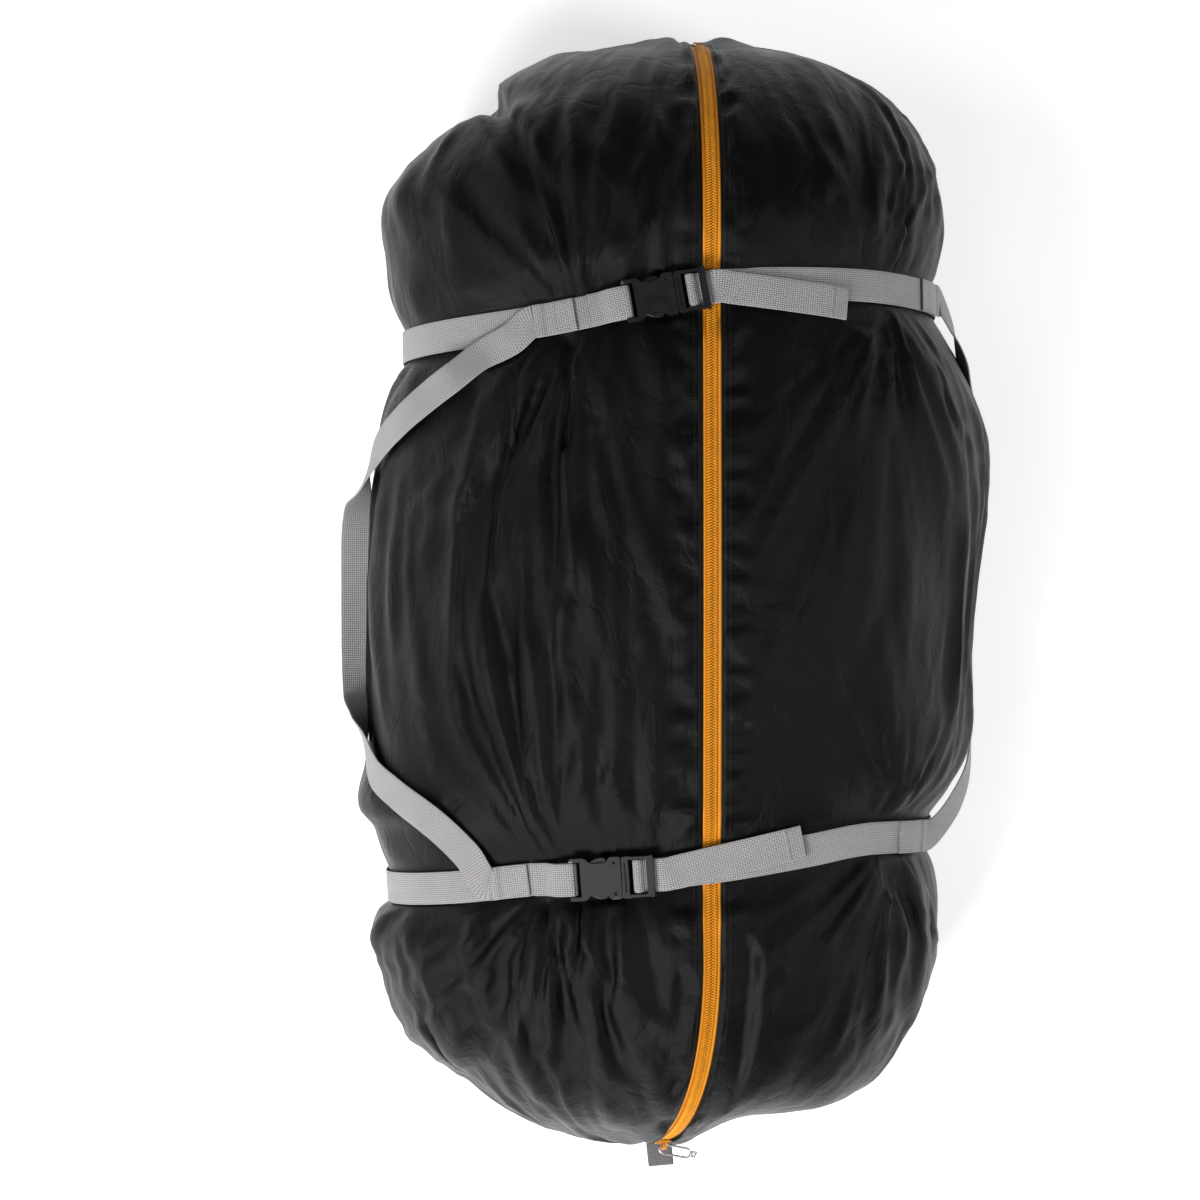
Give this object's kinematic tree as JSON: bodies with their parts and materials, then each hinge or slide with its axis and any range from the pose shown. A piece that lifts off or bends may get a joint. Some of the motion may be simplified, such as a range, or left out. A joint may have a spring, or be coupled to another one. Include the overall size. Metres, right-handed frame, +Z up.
{
  "type": "packed camping hammock",
  "caption": "Camping hammock packed in a soft barrel carry bag, with a long zip on top, buckled compression straps and webbing handles.",
  "frame": {"origin": "on the floor, under the middle of the flat base of the bag", "axes": "+Y along the bag to its head end, the end away from the zip slider; +X across the bag to the side where the straps are adjusted; +Z up, out of the zip"},
  "size_m": [0.5142, 0.891, 0.3016],
  "materials": {
    "bag_fabric": "black coated nylon, slightly glossy",
    "webbing": "light grey plain-woven webbing, matte",
    "zip_tape": "orange woven zip tape and nylon coil",
    "zip_slider_paint": "orange enamel",
    "pull_wire": "bright nickel-plated wire",
    "buckle_plastic": "black moulded acetal, satin",
    "hammock_cloth": "folded cloth, hidden inside",
    "fly_cloth": "folded cloth, hidden inside",
    "tree_webbing": "rolled webbing, hidden inside",
    "carabiner_steel": "zinc-plated wire, hidden inside"
  },
  "bodies": {
    "bag": {"bag_base_panel": "bag_fabric", "bag_foot_panel": "bag_fabric", "bag_head_panel": "bag_fabric", "bag_left_panel": "bag_fabric", "bag_right_panel": "bag_fabric", "buckle_foot_socket": "buckle_plastic", "buckle_head_socket": "buckle_plastic", "carabiner_left": "carabiner_steel", "carabiner_right": "carabiner_steel", "hammock_bed_folded": "hammock_cloth", "handle_left_sewn_foot": "webbing", "handle_left_sewn_head": "webbing", "handle_right_sewn_foot": "webbing", "handle_right_sewn_head": "webbing", "rain_fly_folded": "fly_cloth", "strap_foot_left": "webbing", "strap_foot_right": "webbing", "strap_head_left": "webbing", "strap_head_right": "webbing", "tree_strap_roll_left": "tree_webbing", "tree_strap_roll_right": "tree_webbing", "zip_coil_left": "zip_tape", "zip_coil_right": "zip_tape", "zip_end_tab": "webbing", "zip_foot_stop": "zip_tape", "zip_head_stop": "zip_tape", "zip_tape_left": "zip_tape", "zip_tape_right": "zip_tape"},
    "handle_left": {"handle_left_grip": "webbing"},
    "handle_right": {"handle_right_grip": "webbing"},
    "zip_slider": {"zip_slider": "zip_slider_paint"},
    "zip_pull": {"zip_pull": "pull_wire"},
    "buckle_head_plug": {"buckle_head_plug": "buckle_plastic", "strap_head_lock_loop": "webbing"},
    "buckle_head_prong_upper": {"buckle_head_prong_upper": "buckle_plastic"},
    "buckle_head_prong_lower": {"buckle_head_prong_lower": "buckle_plastic"},
    "strap_head_tail": {"strap_head_tail": "webbing"},
    "buckle_foot_plug": {"buckle_foot_plug": "buckle_plastic", "strap_foot_lock_loop": "webbing"},
    "buckle_foot_prong_upper": {"buckle_foot_prong_upper": "buckle_plastic"},
    "buckle_foot_prong_lower": {"buckle_foot_prong_lower": "buckle_plastic"},
    "strap_foot_tail": {"strap_foot_tail": "webbing"}
  },
  "joints": [
    {"name": "handle_left_swing", "type": "hinge", "parent": "bag", "child": "handle_left", "pos_m": [-0.10399, 0.20465, 0.26913], "axis": [0.0784, 0.9967, 0.0217], "range_deg": [0, 120]},
    {"name": "handle_right_swing", "type": "hinge", "parent": "bag", "child": "handle_right", "pos_m": [0.20505, 0.22936, 0.16596], "axis": [-0.0357, -0.9959, 0.0826], "range_deg": [0, 110]},
    {"name": "zip_slider_travel", "type": "hinge", "parent": "bag", "child": "zip_slider", "pos_m": [-0.0217, -0.275, 0.13563], "axis": [-0.958, 0, 0.2867], "range_deg": [0, 72]},
    {"name": "zip_pull_swing", "type": "hinge", "parent": "zip_slider", "child": "zip_pull", "pos_m": [-0.00996, -0.43577, 0.17484], "axis": [-0.2778, -0.2467, -0.9284], "range_deg": [0, 140]},
    {"name": "buckle_head_release", "type": "slide", "parent": "bag", "child": "buckle_head_plug", "axis": [0.9829, 0.1768, 0.0514], "range_m": [0, 0.03], "deforming": ["buckle_head_prong_upper", "buckle_head_prong_lower", "strap_head_right", "strap_head_tail"]},
    {"name": "buckle_head_prong_upper_flex", "type": "hinge", "parent": "buckle_head_plug", "child": "buckle_head_prong_upper", "pos_m": [-0.00504, 0.23282, 0.2862], "axis": [-0.0587, 0.0363, 0.9976], "range_deg": [0, 10.5], "stiffness_Nm_per_rad": 0.4},
    {"name": "buckle_head_prong_lower_flex", "type": "hinge", "parent": "buckle_head_plug", "child": "buckle_head_prong_lower", "pos_m": [-0.00162, 0.21354, 0.2871], "axis": [0.0587, -0.0363, -0.9976], "range_deg": [0, 10.5], "stiffness_Nm_per_rad": 0.4},
    {"name": "strap_head_tail_lift", "type": "hinge", "parent": "buckle_head_plug", "child": "strap_head_tail", "pos_m": [0.02151, 0.22759, 0.2867], "axis": [0.1745, -0.9836, 0.046], "range_deg": [0, 75]},
    {"name": "buckle_foot_release", "type": "slide", "parent": "bag", "child": "buckle_foot_plug", "axis": [0.9893, 0.0653, 0.1302], "range_m": [0, 0.03], "deforming": ["buckle_foot_prong_upper", "buckle_foot_prong_lower", "strap_foot_right", "strap_foot_tail"]},
    {"name": "buckle_foot_prong_upper_flex", "type": "hinge", "parent": "buckle_foot_plug", "child": "buckle_foot_prong_upper", "pos_m": [-0.04426, -0.20335, 0.28515], "axis": [-0.1271, -0.0507, 0.9906], "range_deg": [0, 10.5], "stiffness_Nm_per_rad": 0.4},
    {"name": "buckle_foot_prong_lower_flex", "type": "hinge", "parent": "buckle_foot_plug", "child": "buckle_foot_prong_lower", "pos_m": [-0.04287, -0.22288, 0.28433], "axis": [0.1271, 0.0507, -0.9906], "range_deg": [0, 10.5], "stiffness_Nm_per_rad": 0.4},
    {"name": "strap_foot_tail_lift", "type": "hinge", "parent": "buckle_foot_plug", "child": "strap_foot_tail", "pos_m": [-0.01848, -0.21141, 0.28678], "axis": [0.0713, -0.9966, -0.0419], "range_deg": [0, 75]}
  ],
  "couplings": [
    {"joint": "buckle_head_prong_lower_flex", "follows": "buckle_head_prong_upper_flex", "ratio": 1},
    {"joint": "buckle_foot_prong_lower_flex", "follows": "buckle_foot_prong_upper_flex", "ratio": 1}
  ]
}
